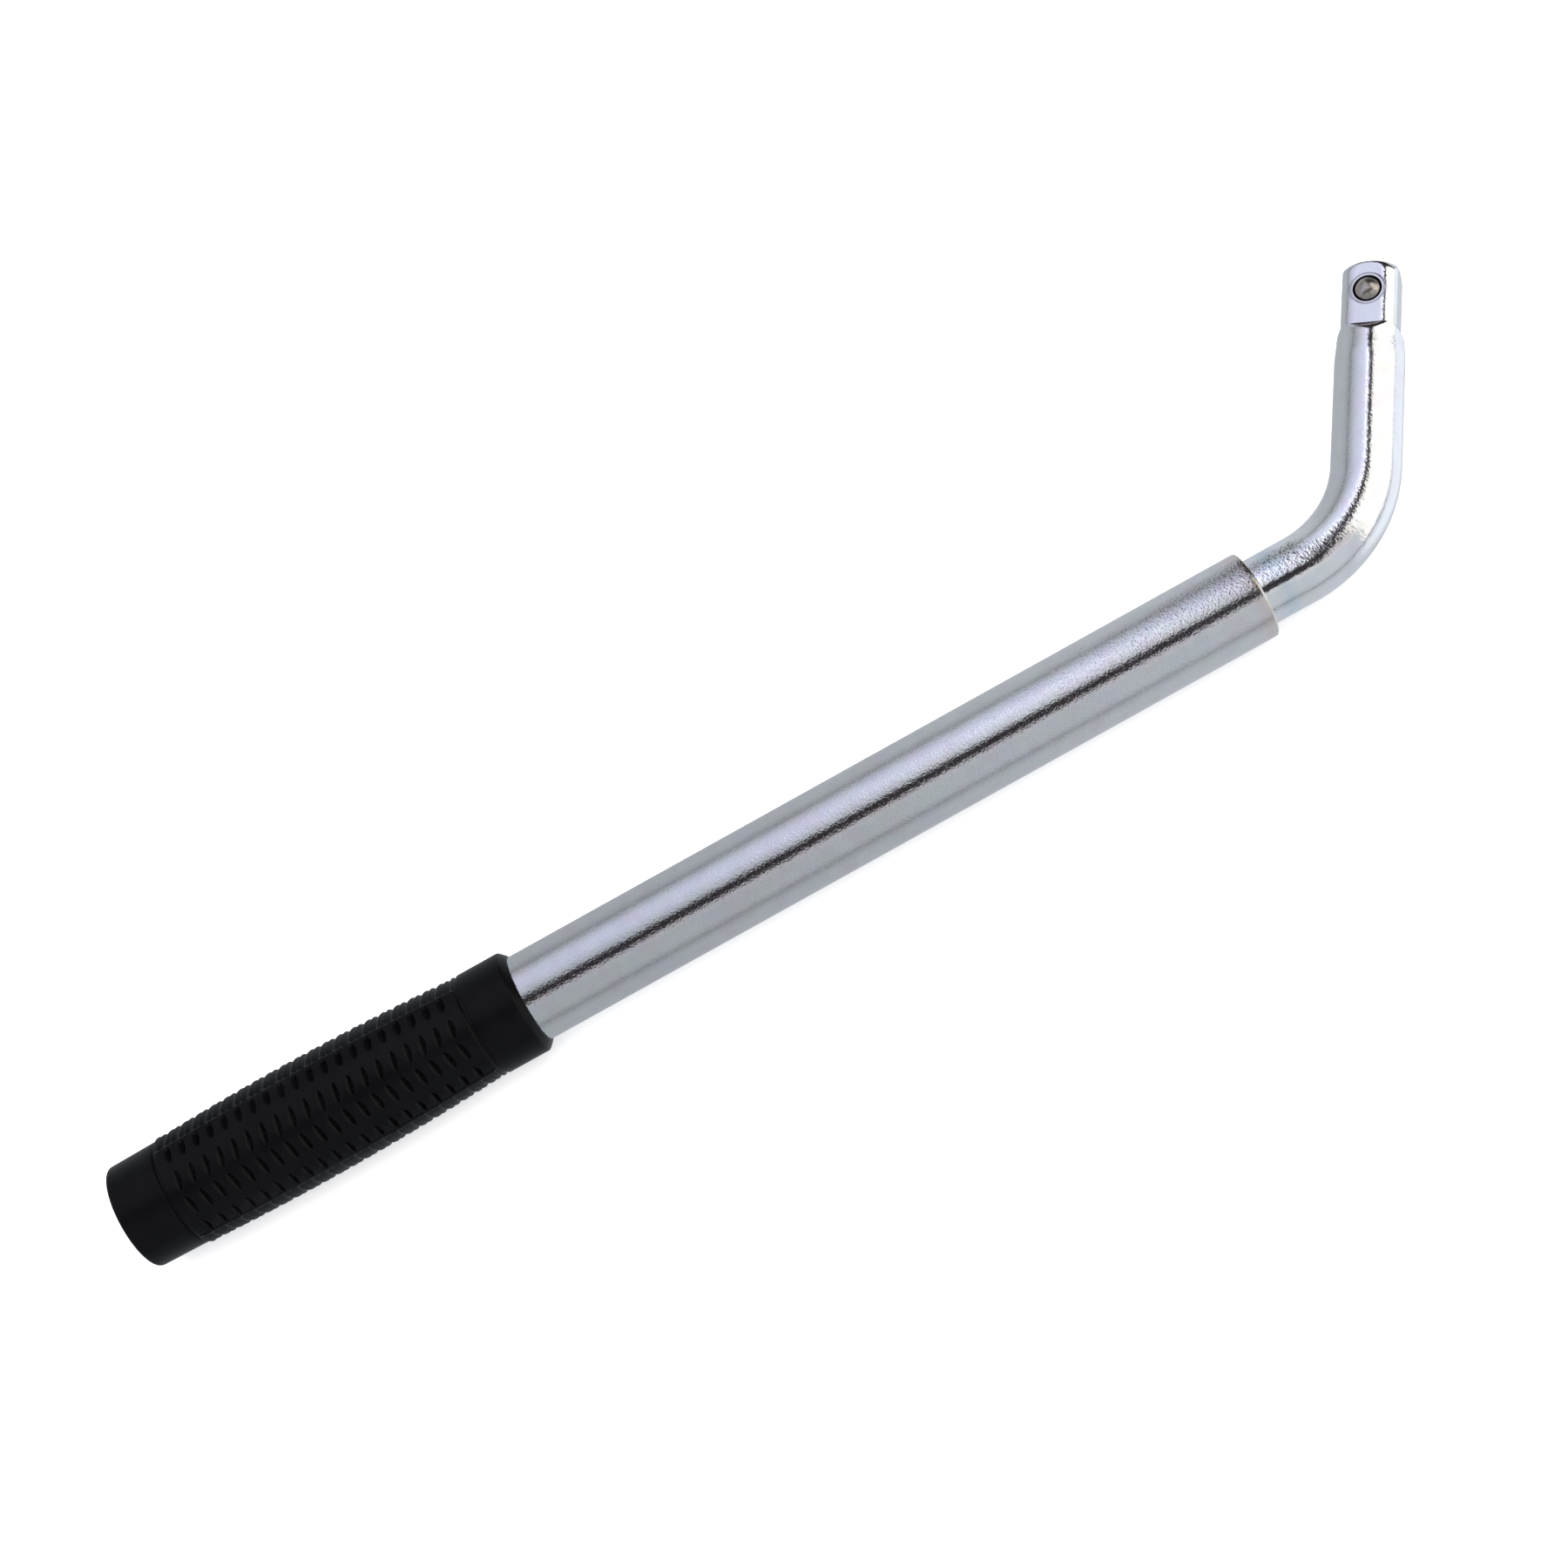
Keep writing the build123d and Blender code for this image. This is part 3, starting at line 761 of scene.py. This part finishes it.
def build_bar(material):
    rings, stations = bar_rings()
    mesh = skin("drive_bar_skin", rings, cap_start=stations[0][1], cap_end=stations[-1][1])
    for tool in ball_hole_cutter():
        mesh = cut(mesh, tool)
    mesh.name = "drive_bar_skin"
    store_grain(mesh)
    finish_piece("drive_bar_skin", mesh, "drive_bar", "bar", material)


def build_spring(material):
    """Coil of the detent spring, copied from its CAD mesh."""
    mesh = frame["nodes"]["detent_spring"].data.copy()
    mesh.materials.clear()
    spring = finish_piece("detent_coil", mesh, "detent_spring", "bar", material)
    foot = TIP - ARM * BALL_FROM_TIP + BALL_FLAT_NORMAL * (SQUARE / 2 - BALL_HOLE_DEPTH)
    free_length = max((corner.co - foot).dot(BALL_FLAT_NORMAL) for corner in mesh.vertices)
    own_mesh(spring)


def paint_node(node, material):
    mesh = frame["nodes"][node].data
    mesh.materials.clear()
    mesh.materials.append(material)


# ---------------------------------------------------------------- floor, studio and camera
# The camera has the photo's view, fitted to the outlines of the tube, bar and square: it looks down at the
# wrench, turned so that the handle runs up and to the right.
CAMERA_BACK = Vector((0.01437, -0.35593, 0.93440)).normalized()
CAMERA_UP = Vector((0.48626, 0.81904, 0.30451))
CAMERA_PLACE = MOUTH + Vector((-105.4, -189.7, 538.3)) * MM
CAMERA_LENS = 58.0

FLOOR_SIDE = 6.0
FLOOR_GAP = 0.1 * MM         # keeps the barrel's swell clear of the floor

OVERHEAD_PLACE = (0, 0.1, 1.6)
OVERHEAD_SIDE = 1.6
OVERHEAD_POWER = 30.0        # watts


def floor_plane():
    """Plane through the three places that the wrench lies on: barrel, tube mouth and drive end."""
    barrel = Vector((GRIP_LOW.x + BARREL_MAX_FROM_REAR, AXIS_Y, GRIP_LOW.z))
    mouth = Vector((TUBE_HIGH.x - MOUTH_NOSE - MOUTH_TAPER_LENGTH, AXIS_Y, TUBE_LOW.z))
    drive = TIP - ARM * (SQUARE_LENGTH + SHOULDER_RISE + CORNER_CONE)
    drive.z = BAR_LOW.z
    normal = (mouth - barrel).cross(drive - barrel).normalized()
    return barrel, normal


def build_floor(material):
    place, normal = floor_plane()
    mesh = bpy.data.meshes.new("floor")
    half = FLOOR_SIDE / 2
    corners = [(-half, -half, 0), (half, -half, 0), (half, half, 0), (-half, half, 0)]
    mesh.from_pydata(corners, [], [(0, 1, 2, 3)])
    mesh.materials.append(material)
    floor = bpy.data.objects.new("floor", mesh)
    bpy.context.scene.collection.objects.link(floor)
    floor.rotation_mode = "QUATERNION"
    floor.rotation_quaternion = normal.to_track_quat("Z", "Y")
    floor.location = place - normal * FLOOR_GAP
    floor.visible_glossy = False


def build_camera():
    data = bpy.data.cameras.new("camera")
    data.lens = CAMERA_LENS
    data.clip_start, data.clip_end = 0.01, 20
    camera = bpy.data.objects.new("camera", data)
    bpy.context.scene.collection.objects.link(camera)
    right = CAMERA_UP.cross(CAMERA_BACK).normalized()
    up = CAMERA_BACK.cross(right)
    camera.matrix_world = Matrix((
        (right.x, up.x, CAMERA_BACK.x, CAMERA_PLACE.x),
        (right.y, up.y, CAMERA_BACK.y, CAMERA_PLACE.y),
        (right.z, up.z, CAMERA_BACK.z, CAMERA_PLACE.z),
        (0, 0, 0, 1),
    ))
    bpy.context.scene.camera = camera


# The studio that the plating mirrors, set after what the photo's plating shows. Angles are degrees
# round the tube's line from the camera's side, minus towards the upper left of the picture. A place
# "along" is the part of a direction that points along the tube, from the grip to the mouth.
ROOM_SEEN = (0.97, 0.97, 0.975, 1)   # pale room behind the floor, for the camera only
ROOM_LIGHT = (0.47, 0.50, 0.54)
LEFT_PANEL = (0.71, 0.74, 0.92)      # big cool panel
LEFT_PANEL_SPAN = (-69, -27)
LEFT_PANEL_SOFTNESS = 15
RIGHT_PANEL = (0.60, 0.58, 0.61)     # dimmer panel beside the gap
RIGHT_PANEL_SPAN = (8, 17)
GAP_LIGHT = (0.03, 0.026, 0.03)      # dark gap overhead, between the panels
GAP_SPAN = (-12.3, 9.8)
HORIZON_MIDDLE = -5.5                # the floor's far edge is a darker line, this far round on each side
HORIZON_ANGLE = 81.5
HAZE_SHADE = 0.18
LINE_SHADE = 0.35
DIMMING_TO_GRIP = 0.75               # the room is dimmer towards the grip and brighter towards the mouth
MOST_DIMMING = 0.08
MOST_BRIGHTENING = 0.2
PANEL_TURN_ALONG = 0.32              # the right panel closes the gap beyond this place
DARK_SIDE_ALONG = 0.21               # the left side is dark beyond this place
DARK_SIDE_SPAN = (-115, -3)
STRIP_LIGHT = (0.45, 0.44, 0.43)     # bright edge of the left panel towards the mouth
STRIP_ALONG = (0.10, 0.205)
STRIP_SPAN = (-52, -14)
KEY_LIGHT = (1.14, 1.13, 1.10)       # large key light beyond the drive end
KEY_ALONG = 0.375
KEY_SPAN = (-50, 66)
KEY_SLANT = (0.73, -0.421, 0.538)    # normal of its slanted edge: along, to the camera's side, to the left
GLOW_ALONG = 0.60                    # the floor beyond the drive end is brighter
GLOW_START = 78
GLOW_GAIN = 0.6


class Sky(Nodes):
    """Nodes of a world, where light depends on the direction that it comes from."""

    def __init__(self, name):
        self.world = bpy.data.worlds.new(name)
        self.world.use_nodes = True
        super().__init__(self.world.node_tree)
        self.tree.nodes.clear()
        self.direction = self.node("ShaderNodeTexCoord").outputs["Generated"]

    def dot(self, vector):
        return self.vector_maths("DOT_PRODUCT", self.direction, tuple(vector)).outputs["Value"]

    def above(self, value, edge, soft):
        """1 where the value is above an edge, eased over a soft width on each side."""
        limits = {"Value": value, "From Min": edge - soft, "From Max": edge + soft}
        return self.node("ShaderNodeMapRange", limits, interpolation_type="SMOOTHSTEP").outputs["Result"]

    def between(self, value, low, high, soft_low, soft_high):
        below = self.maths("SUBTRACT", 1.0, self.above(value, high, soft_high))
        return self.maths("MULTIPLY", self.above(value, low, soft_low), below)

    def scaled(self, light, factor):
        return self.node("ShaderNodeVectorMath", {0: light, "Scale": factor}, operation="SCALE").outputs[0]

    def add(self, light, other):
        return self.vector_maths("ADD", light, other).outputs[0]

    def lerp(self, mask, light, other):
        """Light where the mask is 0, the other light where it is 1."""
        return self.add(self.scaled(light, self.maths("SUBTRACT", 1.0, mask)), self.scaled(other, mask))


def light_round_tube(sky, angle, along):
    """Panels on both sides of a dark gap, and the floor's far edge as a darker line on each side."""
    light = sky.node("ShaderNodeRGB").outputs[0]
    light.default_value = (*ROOM_LIGHT, 1)
    left_panel = sky.between(angle, *LEFT_PANEL_SPAN, LEFT_PANEL_SOFTNESS, LEFT_PANEL_SOFTNESS)
    light = sky.lerp(left_panel, light, LEFT_PANEL)
    light = sky.lerp(sky.between(angle, *RIGHT_PANEL_SPAN, 2, 8), light, RIGHT_PANEL)
    horizon = sky.maths("ABSOLUTE", sky.maths("SUBTRACT", angle, HORIZON_MIDDLE))
    haze = sky.between(horizon, HORIZON_ANGLE - 10, HORIZON_ANGLE + 14, 10, 14)
    line = sky.between(horizon, HORIZON_ANGLE - 2, HORIZON_ANGLE + 2, 2, 2)
    haze, line = sky.maths("MULTIPLY", haze, HAZE_SHADE), sky.maths("MULTIPLY", line, LINE_SHADE)
    light = sky.scaled(light, sky.maths("SUBTRACT", 1.0, sky.maths("ADD", haze, line)))
    light = sky.lerp(sky.between(angle, *GAP_SPAN, 1, 1), light, GAP_LIGHT)
    fall = sky.maths("MULTIPLY", sky.maths("MINIMUM", along, 0.0), DIMMING_TO_GRIP)
    fall = sky.maths("MAXIMUM", fall, -MOST_DIMMING)
    rise = sky.maths("MINIMUM", sky.maths("MAXIMUM", along, 0.0), MOST_BRIGHTENING)
    return sky.scaled(light, sky.maths("ADD", 1.0, sky.maths("ADD", fall, rise)))


def light_beyond_mouth(sky, light, angle, along, key_slant):
    """Light round the tube, with what only the drive bar mirrors: dark side, bright strip, key light."""
    right_end = sky.maths(
        "MULTIPLY", sky.above(along, PANEL_TURN_ALONG, 0.02), sky.between(angle, -5, 12, 2, 2)
    )
    light = sky.lerp(right_end, light, RIGHT_PANEL)
    dark_side = sky.maths(
        "MULTIPLY", sky.above(along, DARK_SIDE_ALONG, 0.01), sky.between(angle, *DARK_SIDE_SPAN, 12, 2)
    )
    light = sky.lerp(dark_side, light, GAP_LIGHT)
    strip = sky.maths(
        "MULTIPLY", sky.between(along, *STRIP_ALONG, 0.012, 0.008), sky.between(angle, *STRIP_SPAN, 6, 3)
    )
    light = sky.add(light, sky.scaled(STRIP_LIGHT, strip))
    key = sky.maths("MULTIPLY", sky.above(key_slant, 0.0, 0.02), sky.above(along, KEY_ALONG, 0.02))
    key = sky.maths("MULTIPLY", key, sky.between(angle, *KEY_SPAN, 3, 9))
    light = sky.lerp(key, light, KEY_LIGHT)
    glow = sky.maths("MULTIPLY", sky.above(angle, GLOW_START, 3), sky.above(along, GLOW_ALONG, 0.15))
    return sky.scaled(light, sky.maths("ADD", 1.0, sky.maths("MULTIPLY", glow, GLOW_GAIN)))


def build_studio():
    """World that the plating mirrors. The camera itself sees a pale room."""
    sky = Sky("studio")
    bpy.context.scene.world = sky.world
    tube_line = Vector((1, 0, 0))
    toward = Vector((0, CAMERA_BACK.y, CAMERA_BACK.z)).normalized()
    beside = toward.cross(tube_line)
    turn = sky.maths("ARCTAN2", sky.dot(beside), sky.dot(toward))
    angle = sky.maths("MULTIPLY", turn, -180 / math.pi)
    along = sky.dot(tube_line)
    key_slant = sky.dot(KEY_SLANT[0] * tube_line + KEY_SLANT[1] * toward + KEY_SLANT[2] * beside)
    light = light_round_tube(sky, angle, along)
    light = light_beyond_mouth(sky, light, angle, along, key_slant)
    studio = sky.node("ShaderNodeBackground", {"Color": light, "Strength": 1.0}).outputs[0]
    room = sky.node("ShaderNodeBackground", {"Color": ROOM_SEEN, "Strength": 1.0}).outputs[0]
    seen = sky.node("ShaderNodeLightPath").outputs["Is Camera Ray"]
    both = sky.node("ShaderNodeMixShader", {0: seen, 1: studio, 2: room}).outputs[0]
    sky.node("ShaderNodeOutputWorld", {"Surface": both})


def build_soft_light():
    """Broad overhead light that keeps the floor pale."""
    data = bpy.data.lights.new("overhead", "AREA")
    data.shape, data.size, data.size_y = "RECTANGLE", OVERHEAD_SIDE, OVERHEAD_SIDE
    data.energy = OVERHEAD_POWER
    light = bpy.data.objects.new("overhead", data)
    bpy.context.scene.collection.objects.link(light)
    light.location = OVERHEAD_PLACE
    light.visible_glossy = False
    light.visible_camera = False


def main():
    tube_tints = (
        (MOUTH.x - 1.6 * MM, 3.0 * MM, (1.0, 0.90, 0.86, 1)),
        (MOUTH.x, 1.2 * MM, (1.0, 0.96, 0.80, 1)),
    )
    bar_tints = ((MOUTH.x + 5.0 * MM - BAR_LOW.x, 4.0 * MM, (0.84, 0.94, 1.0, 1)),)
    tube_plating = plating(
        "plated_tube", "object", (0.78, 0.78, 0.79, 1), roughness=0.11,
        waviness=0.02 * MM, pit_depth=0.055 * MM, heat_tints=tube_tints,
    )
    bend_middle = MOUTH.x - BAR_LOW.x + BAR_PROUD + BEND_RADIUS * BEND / 2
    bar_plating = plating(
        "plated_bar", "attribute", (0.92, 0.92, 0.93, 1), roughness=0.09,
        waviness=0.035 * MM, pit_depth=0.028 * MM, heat_tints=bar_tints,
        # painted shade in the ball's gap and staking groove
        worked=(bend_middle, BEND_RADIUS * BEND * 0.75), shade_mask_of=ball_gap_painted_shade,
    )
    nylon = plain_plastic("nylon", (0.72, 0.69, 0.60, 1))
    spring_steel = bare_steel("spring_steel", (0.42, 0.42, 0.44, 1), 0.28)
    ball_steel = bare_steel("ball_steel", (0.62, 0.56, 0.50, 1), 0.22, 1400)
    build_tube(tube_plating)
    build_grip(moulding("grip_moulding"))
    build_bar(bar_plating)
    build_spring(spring_steel)
    for node, material in (
        ("bump_plug", nylon), ("friction_ring", nylon),
        ("stop_ring", spring_steel), ("detent_ball", ball_steel),
    ):
        paint_node(node, material)
    build_floor(floor_paint("floor_paint"))
    build_camera()
    build_studio()
    build_soft_light()
    bpy.context.scene.view_settings.view_transform = "Standard"


main()
